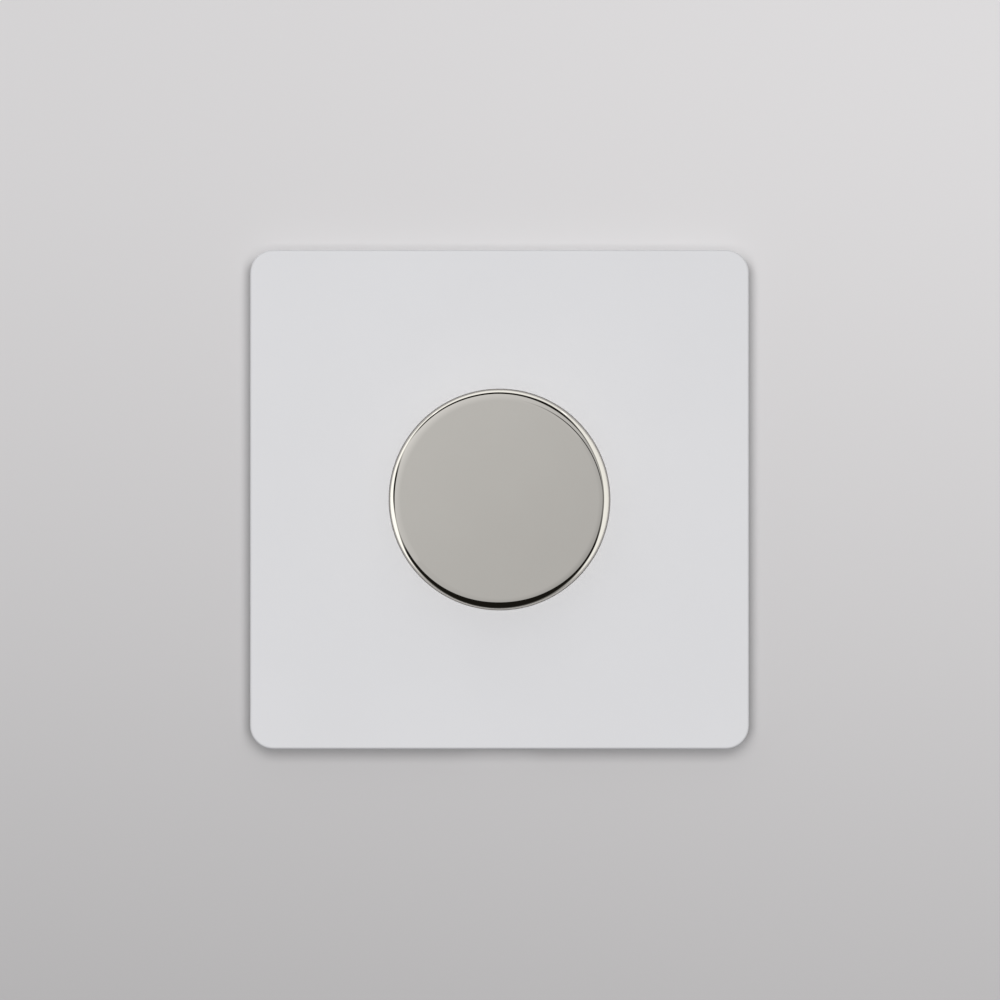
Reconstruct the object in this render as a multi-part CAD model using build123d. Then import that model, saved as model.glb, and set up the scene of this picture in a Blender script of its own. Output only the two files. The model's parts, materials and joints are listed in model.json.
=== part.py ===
from build123d import *
from math import cos, radians, sin, sqrt
import os

# Rotary dimmer switch for a square one-gang wall box. All sizes are in millimetres.
# X runs to the right along the wall, Y into the wall and Z up. The origin is on the
# knob's axis, in the plane of the wall, so the room side has negative depths.

# Clearances
seat_gap = 0.1          # one part in the pocket that holds it
running_gap = 0.05      # shaft in its bush and in its drive hole
press_gap = 0.02        # hub in the cap
thread_gap = 0.05       # screw or bush in its thread

# Front plate
plate_size = 86.0
plate_corner = 4.0
plate_edge = 0.4
plate_face = 1.4
rim_wall = 1.6
wall_gap = 0.4          # between the rim and the wall
notch_width = 12.0      # slot that a screwdriver prises the plate off by
notch_depth = 1.2
nut_room = 0.7          # between the nut's corners and the hole in the plate

# Carrier and gasket
gasket_thick = 0.8
gasket_inset = 1.5
gasket_width = 4.6      # of the ring
carrier_gap = 0.3       # between the carrier and the rim
carrier_thick = 1.6
carrier_rib = 1.0       # height of the ribs that the plate rests on
rib_width = 1.5
centre_rib_size = 24.0
fixing_spacing = 60.3
fixing_slot_width = 4.0
fixing_slot_length = 7.5
fixing_recess_width = 8.4
fixing_recess_depth = 0.6
snap_length = 8.0
snap_height = 26.0      # above and below the knob's axis
snap_grip = 0.35        # how far a snap reaches into the rim
snap_depth = 1.0
sink_frame_wall = 1.2

# Knob
knob_radius = 19.0
knob_height = 11.0
knob_edge = 2.0
knob_travel = 1.2
knob_rest_gap = 0.4     # between the pressed knob and the plate
cap_face = 1.5
cap_wall = 1.1
skirt_chamfer = 0.3
hub_disc = 1.5
hub_ring = 1.2
hub_ring_inset = 2.0    # of the hub's ring behind the cap's edge
hub_boss_radius = 5.4
hub_ribs = 6
hub_rib_width = 1.2
hub_rib_gap = 0.3       # between a rib and the spring ring
hub_slit = 1.0
hub_slit_length = 4.4
hub_bore_end = 0.8      # of the disc in front of the bore
boss_gap = 0.4          # between the pressed boss and the bush
ring_wall = 0.7
ring_width = 1.6
ring_inset = 0.4
ring_split = 1.6

# Shaft
shaft_radius = 3.0
shaft_tip_gap = 0.2
shaft_chamfer = 0.4
knob_flat = 1.6         # from the axis to the flat that turns the knob's hub
knob_flat_length = 6.6
shaft_flat = 2.2        # from the axis to each flat that turns the rotor
tail_radius = 1.5
clip_groove = 0.5
clip_thick = 0.5
clip_width = 1.6
clip_gap = 0.05
clip_opening = 2.6

# Bush, washer and nut
bush_radius = 4.9
bush_stand = 1.9        # of the bush past its nut
bush_chamfer = 0.4
flange_thick = 1.2
bush_hole_gap = 0.2
washer_thick = 0.6
washer_radius = 8.0
washer_teeth = 10
washer_tooth_depth = 0.9
nut_thick = 2.1
nut_flats = 14.0
nut_chamfer = 0.4

# Heat sink
sink_margin = 1.0       # past the case
sink_thick = 1.5
sink_corner = 2.0
sink_screw_height = 17.0
sink_screw_length = 4.0

# Rotary control
pot_radius = 8.5
pot_wall = 0.8
rotor_radius = 6.4
rotor_gap = 0.3         # in front of the rotor
rotor_rim = 1.2
clip_room = 0.4         # behind the clip when the knob is pressed
rotor_web = 1.8
stop_reach = 1.0        # of the rotor's lug past its rim
lug_half_angle = 8.0
turn_half_angle = 150.0
stop_gap_angle = 1.0
contact_thick = 0.2
contact_width = 1.4
brush_gap = 0.3
resistor_thick = 1.0
resistor_hole = 3.6
resistor_ledge = 0.7
terminal_pin = 0.6
terminal_pin_width = 1.0
terminal_pin_pitch = 2.5
terminal_pin_reach = 1.0
terminal_pin_overlap = 1.3
pot_end_gap = 0.3
tail_hole_gap = 0.7

# Push switch
switch_size = 13.0
switch_depth = 7.3
switch_wall = 1.0
plunger_nose_radius = 2.0
plunger_size = 6.0
plunger_thick = 1.8
plunger_gap = 0.3       # between the plunger and the front wall of its case
nose_gap = 0.3
tail_push_gap = 0.05
spring_radius = 1.6
spring_wire = 0.4
spring_turns = 2
bridge_length = 9.6
bridge_width = 2.0
bridge_thick = 0.4
bridge_inset = 0.3
contact_post = 1.2
contact_gap = 0.25      # between the pressed bridge and a fixed contact

# Circuit board and its parts
board_thick = 1.6
board_space = 2.5       # between the board and the back of the case
board_edge_gap = 0.4
board_base = 1.2        # between the terminal block and the board
post_radius = 1.5
post_side_inset = 4.5
post_low_inset = 2.5
post_high_inset = 7.6
choke_side_gap = 1.6
choke_inset = 9.9       # of each part's middle from the board's upper edge
choke_radius = 6.2
choke_bore = 3.2
choke_thick = 5.0
choke_turns = 12
choke_wire = 0.8
choke_wire_gap = 0.05
film_side_gap = 1.2
film_width = 13.0
film_thick = 6.0
film_depth = 11.0
film_edge = 0.6
film_top_gap = 1.0
smoothing_side_gap = 2.2
smoothing_inset = 11.5
smoothing_radius = 3.15
smoothing_depth = 11.0
smoothing_edge = 0.4
fuse_x = 1.0
fuse_inset = 9.1
fuse_radius = 1.8
fuse_length = 9.0
fuse_lead = 0.6
fuse_lead_reach = 1.2
fuse_stand = 1.5
chip_width = 8.7
chip_height = 4.0
chip_thick = 1.5
chip_leg_pitch = 1.27
chip_leg_width = 0.5
chip_leg_reach = 1.0
chip_leg_thick = 0.3
chip_legs = 6

# Transistors
transistor_z = 0.2
transistor_width = 10.0
transistor_height = 15.5
transistor_body = 9.2
transistor_thick = 4.4
transistor_tab = 1.3
transistor_hole_inset = 2.8
transistor_leg = 0.8
transistor_leg_pitch = 2.54
transistor_leg_reach = 3.0
transistor_leg_rise = 2.6
pad_thick = 0.3
pad_margin = 0.2

# Module case
case_width = 46.0
case_height = 52.0
case_wall = 1.5
case_corner = 2.5
case_edge = 0.6
boss_radius = 2.2
boss_sink = 1.0         # of a screw boss into the corner's walls
ledge_thick = 1.5
ledge_reach = 3.5
side_grooves = 6        # in each side, between the finger ribs
side_groove_width = 1.6
side_groove_pitch = 4.0
side_groove_depth = 0.5
side_groove_z = 2.0
panel_width = 34.0      # sunk panel in the back
panel_height = 27.0
panel_depth = 0.4
panel_corner = 1.5
panel_z = 3.0
gauge_length = 8.0      # groove that wires are measured by
gauge_width = 1.2
gauge_depth = 0.4

# Terminals
terminals = 3
terminal_pitch = 10.0
block_side = 0.8
block_base = 1.7
block_top = 2.1
block_depth = 14.0
wire_opening = 4.6
cage_wall = 0.9
cage_length = 7.0
entry_margin = 0.1
tag_width = 3.0
tag_thick = 0.8
tag_reach = 1.2
terminal_web = 0.7
terminal_head_sink = 0.7

# Screws: shank radius, head radius and head thickness
m2_shank, m2_head = 0.95, 1.9
m3_shank, m3_head, m3_head_thick = 1.45, 2.75, 1.8
terminal_head, terminal_head_thick = 2.6, 2.0
hole_gap = 0.15
driver_slot = 0.8
driver_slot_depth = 0.8
fine_slot = 0.6         # width and depth in the case's screws

# Earth connection
earth_gap = 0.2         # between the pillar and the heat sink's frame
earth_z = -22.0
earth_width = 7.0
earth_height = 6.0
earth_depth = 8.0
earth_wire_radius = 1.9
earth_wire_inset = 3.0
earth_rivet = 1.7
earth_head_sink = 0.5
leaf_length = 14.0
leaf_width = 5.0
leaf_thick = 0.3

# Depths of the plate and the carrier, from the wall towards the room
carrier_back = -gasket_thick
carrier_front = carrier_back - carrier_thick
plate_inside = carrier_front - carrier_rib
plate_front = plate_inside - plate_face
rim_back = -wall_gap
washer_front = carrier_front - washer_thick
nut_front = washer_front - nut_thick
bush_front = nut_front - bush_stand

# Depths of the knob
knob_back = plate_front - knob_travel - knob_rest_gap
knob_front = knob_back - knob_height
hub_front = knob_front + cap_face
hub_disc_back = hub_front + hub_disc
hub_back = knob_back - hub_ring_inset
boss_end = bush_front - knob_travel - boss_gap
ring_front = boss_end - ring_inset - ring_width
bore_front = hub_front + hub_bore_end
shaft_front = bore_front + shaft_tip_gap
knob_flat_end = shaft_front + knob_flat_length

# Depths of the control, from the wall into the box
sink_back = carrier_back + sink_thick
flange_back = sink_back + flange_thick
clip_front = flange_back + clip_gap
clip_back = clip_front + clip_thick
rotor_front = flange_back + rotor_gap
web_front = clip_back + knob_travel + clip_room
rotor_back = web_front + rotor_web
contact_back = rotor_back + contact_thick
resistor_front = contact_back + brush_gap
resistor_back = resistor_front + resistor_thick
pot_end = resistor_back + terminal_pin + pot_end_gap
pot_back = pot_end + pot_wall
switch_back = pot_back + switch_depth
switch_inside = pot_back + switch_wall
plunger_front = switch_inside + plunger_gap
plunger_back = plunger_front + plunger_thick
nose_front = pot_back + switch_wall / 2
tail_end = nose_front - tail_push_gap
bridge_back = plunger_back + bridge_thick
post_tip = bridge_back + knob_travel + contact_gap
flats_front = clip_back + clip_room / 2
flats_back = rotor_back + clip_room

# Depths of the board and the case
board_front = switch_back
board_back = board_front + board_thick
case_inside = board_back + board_space
case_back = case_inside + case_wall

# Plan sizes
sink_width = case_width + 2 * sink_margin
sink_height = case_height + 2 * sink_margin
sink_frame_width = sink_width + 2 * (seat_gap + sink_frame_wall)
sink_frame_height = sink_height + 2 * (seat_gap + sink_frame_wall)
earth_x = -(sink_frame_width / 2 + earth_gap + earth_width / 2)
pocket_size = plate_size - 2 * rim_wall
carrier_size = pocket_size - 2 * carrier_gap
gasket_size = carrier_size - 2 * gasket_inset
gasket_opening = gasket_size - 2 * gasket_width
cap_inside = knob_radius - cap_wall
hub_radius = cap_inside - press_gap
nut_corner_radius = nut_flats / sqrt(3)
nut_hole = nut_corner_radius + nut_room
pot_inside = pot_radius - pot_wall
resistor_radius = pot_inside - seat_gap
inner_width = case_width - 2 * case_wall
inner_height = case_height - 2 * case_wall
boss_x = inner_width / 2 - boss_radius + boss_sink
boss_z = inner_height / 2 - boss_radius + boss_sink

# Terminal block
block_width = terminals * terminal_pitch + 2 * block_side
block_low = -case_height / 2
cage_low = block_low + block_base + seat_gap
cage_high = cage_low + cage_length
cage_middle = (cage_low + cage_high) / 2
block_high = cage_high + seat_gap + block_top
block_front = case_back - block_depth
terminal_seat = case_back - terminal_head_sink - terminal_head_thick
cage_back = terminal_seat - terminal_web - seat_gap
cage_size = wire_opening + 2 * cage_wall
cage_front = cage_back - cage_size
cage_mid = cage_back - cage_size / 2
terminal_places = [(i - (terminals - 1) / 2) * terminal_pitch for i in range(terminals)]
board_low = block_high + board_base
board_high = inner_height / 2 - board_edge_gap
post_x = inner_width / 2 - post_side_inset
post_z = (board_low + post_low_inset, board_high - post_high_inset)
choke_x = -(inner_width / 2 - choke_side_gap - choke_radius - choke_wire - choke_wire_gap)
choke_z = board_high - choke_inset
film_x = inner_width / 2 - film_side_gap - film_width / 2
smoothing_x = inner_width / 2 - smoothing_side_gap - smoothing_radius
smoothing_z = board_high - smoothing_inset
fuse_z = board_high - fuse_inset
transistor_x = (pot_radius + inner_width / 2) / 2
tag_high = board_low + tag_reach

# Places of what repeats
case_screw_places = [(-boss_x, boss_z), (boss_x, -boss_z)]
posts = [(x, z) for x in (-post_x, post_x) for z in post_z]
fixing_places = [(-fixing_spacing / 2, 0), (fixing_spacing / 2, 0)]
sink_screw_places = [(0, -sink_screw_height), (0, sink_screw_height)]
transistor_places = [-transistor_x, transistor_x]
transistor_high = transistor_z + transistor_height / 2
transistor_low = transistor_z - transistor_height / 2
tab_hole_z = transistor_high - transistor_hole_inset
tab_back = sink_back + pad_thick + transistor_tab


def prism(sketch, back, front):
    """A sketch in X and Z, given thickness between two depths."""
    return extrude(Plane.XZ.offset(-back) * sketch, amount=back - front)


def span(middle, size):
    """The two ends of a size laid evenly about its middle."""
    return (middle - size / 2, middle + size / 2)


def block(x, y, z):
    """A block between two places along each axis."""
    section = Pos((x[0] + x[1]) / 2, (z[0] + z[1]) / 2) * Rectangle(x[1] - x[0], z[1] - z[0])
    return prism(section, y[1], y[0])


def rod(radius, back, front, x=0.0, z=0.0):
    """A cylinder square to the wall."""
    return prism(Pos(x, z) * Circle(radius), back, front)


def turned(*outline):
    """A solid turned about the knob's axis, from radii and depths."""
    return revolve(make_face(Polyline(*outline, close=True)), Axis.Y)


def bent(width, x, *outline):
    """A strip bent along depths and heights, centred on a place along X."""
    face = make_face(Plane.YZ.offset(x - width / 2) * Polyline(*outline, close=True))
    return extrude(face, amount=width, dir=(1, 0, 0))


def sector(inner, outer, half_angle, direction):
    """A piece of a ring about the knob's axis, drawn in X and Z."""
    start, mid, end = direction - half_angle, direction, direction + half_angle

    def at(radius, angle):
        return (radius * cos(radians(angle)), radius * sin(radians(angle)))

    outline = [
        ThreePointArc(at(outer, start), at(outer, mid), at(outer, end)),
        Line(at(outer, end), at(inner, end)),
        ThreePointArc(at(inner, end), at(inner, mid), at(inner, start)),
        Line(at(inner, start), at(outer, start)),
    ]
    return make_face(outline)


def front_edges(solid):
    """The outline of the face nearest to the room."""
    return solid.faces().sort_by(Axis.Y)[0].edges()


def slotted_screw(shank, length, head, head_thick, seat, x, z):
    """A screw put in from the back, with one straight slot."""
    screw = rod(head, seat + head_thick, seat, x, z) + rod(shank, seat, seat - length, x, z)
    slot = Pos(x, z) * Rectangle(2.2 * head, driver_slot)
    return screw - prism(slot, seat + head_thick, seat + head_thick - driver_slot_depth)


def front_plate():
    """Plate with a return rim, which clips over the carrier."""
    plate = prism(RectangleRounded(plate_size, plate_size, plate_corner), rim_back, plate_front)
    plate = fillet(front_edges(plate), plate_edge)
    pocket = RectangleRounded(pocket_size, pocket_size, plate_corner - rim_wall)
    plate -= prism(pocket, rim_back, plate_inside)
    plate -= rod(nut_hole, plate_inside, plate_front)
    low = -plate_size / 2
    plate -= block(span(0, notch_width), (rim_back - notch_depth, rim_back), (low, low + rim_wall))
    groove = pocket_size / 2 + snap_grip + seat_gap
    middle = (carrier_back + carrier_front) / 2
    groove_depth = span(middle, snap_depth + 2 * seat_gap)
    for side in (-1, 1):
        for z in (-snap_height, snap_height):
            x = sorted((side * (pocket_size / 2 - seat_gap), side * groove))
            plate -= block(x, groove_depth, span(z, snap_length + 4 * seat_gap))
    return plate


def snap(side, z):
    """A wedge on the carrier's edge that holds the plate's rim."""
    root = carrier_size / 2 - seat_gap
    tip = pocket_size / 2 + snap_grip
    middle = (carrier_back + carrier_front) / 2
    outline = [
        (side * root, middle - snap_depth / 2),
        (side * tip, middle - snap_depth / 8),
        (side * tip, middle + snap_depth / 8),
        (side * root, middle + snap_depth / 2),
    ]
    face = make_face(Plane.XY.offset(z - snap_length / 2) * Polyline(*outline, close=True))
    return extrude(face, amount=snap_length, dir=(0, 0, 1))


def carrier():
    """Moulded carrier with ribs for the plate and slots for the wall screws."""
    corner = plate_corner - rim_wall - carrier_gap
    outline = RectangleRounded(carrier_size, carrier_size, corner)
    inner = carrier_size - 2 * rib_width
    body = prism(outline, carrier_back, carrier_front)
    body += prism(outline - Rectangle(inner, inner), carrier_front, plate_inside)
    hollow = centre_rib_size - 2 * rib_width
    square = Rectangle(centre_rib_size, centre_rib_size) - Rectangle(hollow, hollow)
    body += prism(square, carrier_front, plate_inside)
    spoke = (inner - centre_rib_size) / sqrt(2) + rib_width
    middle = (inner + centre_rib_size) / (2 * sqrt(2))
    for turn in range(4):
        place = Rot(0, 0, 45 + 90 * turn) * Pos(middle, 0)
        body += prism(place * Rectangle(spoke, rib_width), carrier_front, plate_inside)
    frame = Rectangle(sink_frame_width, sink_frame_height)
    frame -= Rectangle(sink_width + 2 * seat_gap, sink_height + 2 * seat_gap)
    body += prism(frame, sink_back, carrier_back)
    for side in (-1, 1):
        for z in (-snap_height, snap_height):
            body += snap(side, z)
    for x, z in fixing_places:
        slot = Pos(x, z) * SlotOverall(fixing_slot_length, fixing_slot_width)
        recess_length = fixing_slot_length + fixing_recess_width - fixing_slot_width
        recess = Pos(x, z) * SlotOverall(recess_length, fixing_recess_width)
        body -= prism(slot, carrier_back, carrier_front)
        body -= prism(recess, carrier_front + fixing_recess_depth, carrier_front)
    body -= rod(bush_radius + bush_hole_gap, carrier_back, carrier_front)
    for x, z in sink_screw_places:
        body -= rod(m3_shank + hole_gap, carrier_back, carrier_front, x, z)
        body -= countersink(m3_shank + hole_gap, m3_head, carrier_front, -1, x, z)
    body -= rod(earth_rivet + hole_gap, carrier_back, carrier_front, earth_x, earth_z)
    return body


def countersink(narrow, wide, face, side, x, z):
    """A cone whose wide end lies in a face that looks to the room (-1) or the box (1)."""
    depth = wide - narrow
    outline = [(0, face), (wide, face), (narrow, face - side * depth), (0, face - side * depth)]
    return Pos(x, 0, z) * turned(*outline)


def wall_gasket():
    """Foam ring between the carrier and the wall."""
    corner = plate_corner - rim_wall - carrier_gap
    ring = RectangleRounded(gasket_size, gasket_size, corner)
    ring -= RectangleRounded(gasket_opening, gasket_opening, corner)
    earth_room = Rectangle(earth_width + 2 * seat_gap, earth_height + 2 * seat_gap)
    return prism(ring - Pos(earth_x, earth_z) * earth_room, 0, carrier_back)


def knob_cap():
    """Turned metal cap, open towards the wall."""
    cap = turned(
        (0, knob_front),
        (knob_radius, knob_front),
        (knob_radius, knob_back),
        (cap_inside, knob_back),
        (cap_inside, hub_front),
        (0, hub_front),
    )
    cap = fillet(front_edges(cap), knob_edge)
    skirt = [e for e in cap.faces().sort_by(Axis.Y)[-1].edges() if e.radius > cap_inside + cap_wall / 2]
    return chamfer(skirt, skirt_chamfer)


def knob_hub():
    """Moulded insert with a split boss that grips the shaft."""
    hub = turned(
        (0, hub_front),
        (hub_radius, hub_front),
        (hub_radius, hub_back),
        (hub_radius - hub_ring, hub_back),
        (hub_radius - hub_ring, hub_disc_back),
        (hub_boss_radius, hub_disc_back),
        (hub_boss_radius, boss_end),
        (0, boss_end),
    )
    rib_length = hub_radius - hub_ring / 2 - hub_boss_radius
    for i in range(hub_ribs):
        place = Rot(0, 0, 360 / hub_ribs * i + 30) * Pos(hub_boss_radius - hub_ring / 4 + rib_length / 2, 0)
        rib = place * Rectangle(rib_length, hub_rib_width)
        hub += prism(rib, ring_front - hub_rib_gap, hub_disc_back)
    hub -= prism(knob_section(), knob_flat_end, bore_front)
    hub -= rod(shaft_radius, boss_end, knob_flat_end)
    for width, height in ((2.2 * hub_boss_radius, hub_slit), (hub_slit, 2.2 * hub_boss_radius)):
        hub -= prism(Rectangle(width, height), boss_end, boss_end - hub_slit_length)
    return hub


def hub_spring_ring():
    """Split steel ring on the boss."""
    outer = hub_boss_radius + press_gap + ring_wall
    ring = Circle(outer) - Circle(hub_boss_radius + press_gap)
    ring -= Pos(0, outer) * Rectangle(ring_split, 2 * outer)
    return prism(ring, ring_front + ring_width, ring_front)


def knob_section():
    """The shaft's section inside the knob's hub, with one flat below the axis."""
    cut = 2 * shaft_radius
    return Circle(shaft_radius) - Pos(0, -knob_flat - cut / 2) * Rectangle(cut, cut)


def control_shaft():
    """Shaft with flats for the knob and the rotor and a tail for the switch."""
    nose = prism(knob_section(), knob_flat_end, shaft_front)
    shaft = chamfer(front_edges(nose), shaft_chamfer) + rod(shaft_radius, flats_front, knob_flat_end)
    groove = Circle(shaft_radius) - Circle(shaft_radius - clip_groove)
    shaft -= prism(groove, clip_back, clip_front)
    flats = Circle(shaft_radius) & Rectangle(2 * shaft_flat, 2 * shaft_radius)
    shaft += prism(flats, flats_back, flats_front)
    return shaft + rod(tail_radius, tail_end, flats_back)


def shaft_circlip():
    """Open ring in the shaft's groove."""
    inner = shaft_radius - clip_groove + press_gap
    outer = inner + clip_width
    ring = Circle(outer) - Circle(inner) - Pos(0, -outer) * Rectangle(clip_opening, 2 * outer)
    return prism(ring, clip_back, clip_front)


def heat_sink():
    """Aluminium plate between the carrier and the module."""
    plate = prism(RectangleRounded(sink_width, sink_height, sink_corner), sink_back, carrier_back)
    plate -= rod(bush_radius + bush_hole_gap, sink_back, carrier_back)
    for x, z in sink_screw_places:
        plate -= rod(m3_shank + thread_gap, sink_back, carrier_back, x, z)
    for x in transistor_places:
        plate -= rod(m3_shank + thread_gap, sink_back, carrier_back, x, tab_hole_z)
    for x, z in case_screw_places:
        plate -= rod(m2_shank + thread_gap, sink_back, carrier_back, x, z)
    return plate


def heat_sink_screws():
    """Countersunk screws through the carrier into the heat sink."""
    screws = []
    for x, z in sink_screw_places:
        screw = countersink(m3_shank, m3_head - hole_gap, carrier_front, -1, x, z)
        screw += rod(m3_shank, carrier_front + sink_screw_length, carrier_front, x, z)
        slot = Pos(x, z) * Rectangle(2.2 * m3_head, driver_slot)
        screws.append(screw - prism(slot, carrier_front + driver_slot_depth, carrier_front))
    return screws


def threaded_bush():
    """Bearing of the shaft, with the flange that closes the rotary control."""
    bush = turned(
        (shaft_radius + running_gap, bush_front),
        (bush_radius - bush_chamfer, bush_front),
        (bush_radius, bush_front + bush_chamfer),
        (bush_radius, sink_back),
        (pot_radius, sink_back),
        (pot_radius, flange_back),
        (shaft_radius + running_gap, flange_back),
    )
    return bush


def bush_nut():
    """Hexagon nut on the bush."""
    nut = prism(RegularPolygon(nut_corner_radius, 6), washer_front, nut_front)
    cone = turned(
        (0, nut_front),
        (nut_flats / 2, nut_front),
        (nut_corner_radius, nut_front + nut_chamfer),
        (nut_corner_radius, washer_front),
        (0, washer_front),
    )
    return (nut & cone) - rod(bush_radius + thread_gap, washer_front, nut_front)


def lock_washer():
    """Washer with teeth on its inner edge."""
    ring = Circle(washer_radius) - Circle(bush_radius + bush_hole_gap)
    for i in range(washer_teeth):
        place = Rot(0, 0, 360 / washer_teeth * i) * Pos(bush_radius + bush_hole_gap, 0)
        ring -= place * Rectangle(2 * washer_tooth_depth, washer_tooth_depth)
    return prism(ring, carrier_front, washer_front)


def pot_case():
    """Cup of the rotary control, with the stop for the rotor's lug."""
    step = pot_inside - resistor_ledge
    cup = turned(
        (pot_inside, flange_back),
        (pot_radius, flange_back),
        (pot_radius, pot_back),
        (tail_radius + tail_hole_gap, pot_back),
        (tail_radius + tail_hole_gap, pot_end),
        (step, pot_end),
        (step, resistor_back),
        (pot_inside, resistor_back),
    )
    stop_half = 180 - turn_half_angle - lug_half_angle - stop_gap_angle
    stop = sector(rotor_radius + rotor_gap, pot_inside + pot_wall / 2, stop_half, -90)
    cup += prism(stop, rotor_back - rotor_gap, rotor_front + rotor_gap)
    pin_room = terminal_pin_pitch + terminal_pin_width / 2 + seat_gap
    cup -= block((-pin_room, pin_room), (resistor_back, pot_end), (-2 * pot_radius, -step + resistor_ledge))
    return cup


def resistor_disc():
    """Track of the rotary control."""
    disc = Circle(resistor_radius) - Circle(resistor_hole)
    return prism(disc, resistor_back, resistor_front)


def drive_hole(gap):
    """The shaft's section over its flats, opened by a gap."""
    return Circle(shaft_radius + gap) & Rectangle(2 * (shaft_flat + gap), 3 * shaft_radius)


def wiper_rotor():
    """Rotor that the shaft turns and slides in."""
    rotor = rod(rotor_radius, rotor_back, rotor_front)
    rotor -= rod(rotor_radius - rotor_rim, web_front, rotor_front)
    lug = sector(rotor_radius - rotor_rim / 2, rotor_radius + stop_reach, lug_half_angle, 90)
    rotor += prism(lug, rotor_back - rotor_gap, rotor_front + rotor_gap)
    return rotor - prism(drive_hole(running_gap), rotor_back, web_front)


def wiper_contact():
    """Sprung wiper on the back of the rotor."""
    ring = Circle(rotor_radius) - Circle(rotor_radius - contact_width)
    ring -= Pos(0, -rotor_radius) * Rectangle(3 * rotor_radius, rotor_radius)
    return prism(ring, contact_back, rotor_back)


def pot_terminals():
    """Three pins from the track to the board."""
    top = -(pot_inside - resistor_ledge - terminal_pin_overlap + resistor_ledge)
    low = -(pot_radius + terminal_pin_reach)
    back = resistor_back + terminal_pin
    outline = [
        (resistor_back, top),
        (resistor_back, low),
        (board_front, low),
        (board_front, low + terminal_pin),
        (back, low + terminal_pin),
        (back, top),
    ]
    return [bent(terminal_pin_width, i * terminal_pin_pitch, *outline) for i in (-1, 0, 1)]


def switch_case():
    """Housing of the push switch, between the rotary control and the board."""
    inner = switch_size - 2 * switch_wall
    case = prism(Rectangle(switch_size, switch_size), switch_back, pot_back)
    case -= prism(Rectangle(inner, inner), switch_back - switch_wall, switch_inside)
    return case - rod(plunger_nose_radius + nose_gap, switch_inside, pot_back)


def switch_plunger():
    """Plunger that the shaft's tail pushes."""
    plunger = prism(Rectangle(plunger_size, plunger_size), plunger_back, plunger_front)
    plunger += rod(plunger_nose_radius, plunger_front, nose_front)
    guide = Rectangle(bridge_length - 2 * bridge_inset, bridge_width)
    return plunger + prism(guide, plunger_back, plunger_front + plunger_thick / 2)


def plunger_spring():
    """Coil spring between the plunger and the end of the switch case."""
    half_wire = spring_wire / 2
    start, end = bridge_back + half_wire, switch_back - switch_wall - half_wire
    height = end - start
    path = Helix(height / spring_turns, height, spring_radius, center=(0, start, 0), direction=(0, 1, 0))
    section = Plane(origin=path @ 0, x_dir=(0, 1, 0), z_dir=path % 0) * Rectangle(spring_wire, spring_wire)
    return sweep(section, path=path, is_frenet=True)


def bridge_contact():
    """Strip on the plunger that joins the two fixed contacts."""
    return prism(Rectangle(bridge_length, bridge_width), bridge_back, plunger_back)


def fixed_contacts():
    """Two posts from the switch case's end wall."""
    x = bridge_length / 2 - contact_post / 2
    depth = (post_tip, switch_back - switch_wall)
    return [block(span(side * x, contact_post), depth, span(0, contact_post)) for side in (-1, 1)]


def circuit_board():
    """Board with its corner cut back round a screw boss."""
    board_width = inner_width - 2 * board_edge_gap
    board = block(span(0, board_width), (board_front, board_back), (board_low, board_high))
    for x, z in case_screw_places:
        if z > board_low:
            board -= rod(boss_radius + board_edge_gap, board_back, board_front, x, z)
    return board


def choke_core():
    """Ring of the interference choke."""
    ring = Pos(choke_x, choke_z) * (Circle(choke_radius) - Circle(choke_bore))
    back = board_front - choke_wire - choke_wire_gap
    return prism(ring, back, back - choke_thick)


def choke_winding():
    """Turns of wire round the choke's ring."""
    back = board_front
    front = board_front - 2 * (choke_wire + choke_wire_gap) - choke_thick
    middle = (choke_radius + choke_bore) / 2
    length = choke_radius - choke_bore + 2 * choke_wire_gap
    turns = []
    for i in range(choke_turns):
        place = Pos(choke_x, choke_z) * Rot(0, 0, 360 / choke_turns * i) * Pos(middle, 0)
        turn = prism(place * Rectangle(length + 2 * choke_wire, choke_wire), back, front)
        turn -= prism(place * Rectangle(length, 2 * choke_wire), back - choke_wire, front + choke_wire)
        turns.append(turn)
    return turns


def film_capacitor():
    """Boxed capacitor across the mains."""
    high = board_high - film_top_gap
    can = block(span(film_x, film_width), (board_front - film_depth, board_front), (high - film_thick, high))
    return chamfer(front_edges(can), film_edge)


def smoothing_capacitor():
    """Round can on the board."""
    can = rod(smoothing_radius, board_front, board_front - smoothing_depth, smoothing_x, smoothing_z)
    return chamfer(front_edges(can), smoothing_edge)


def thermal_fuse():
    """Fuse on bent leads above the board."""
    middle = board_front - fuse_stand - fuse_radius
    half = fuse_length / 2
    body = Pos(fuse_x, middle, fuse_z) * Cylinder(fuse_radius, fuse_length)
    far = half + fuse_lead_reach
    for side in (-1, 1):
        outline = [
            (middle - fuse_lead / 2, fuse_z + side * half),
            (middle - fuse_lead / 2, fuse_z + side * far),
            (board_front, fuse_z + side * far),
            (board_front, fuse_z + side * (far - fuse_lead)),
            (middle + fuse_lead / 2, fuse_z + side * (far - fuse_lead)),
            (middle + fuse_lead / 2, fuse_z + side * half),
        ]
        body += bent(fuse_lead, fuse_x, *outline)
    return body


def control_chip():
    """Flat chip with legs on the back of the board."""
    chip = block(span(0, chip_width), (board_back, board_back + chip_thick), span(0, chip_height))
    leg_depth = (board_back, board_back + chip_leg_thick)
    leg_length = span(0, chip_height + 2 * chip_leg_reach)
    for i in range(chip_legs):
        x = (i - (chip_legs - 1) / 2) * chip_leg_pitch
        chip += block(span(x, chip_leg_width), leg_depth, leg_length)
    return chip


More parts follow.
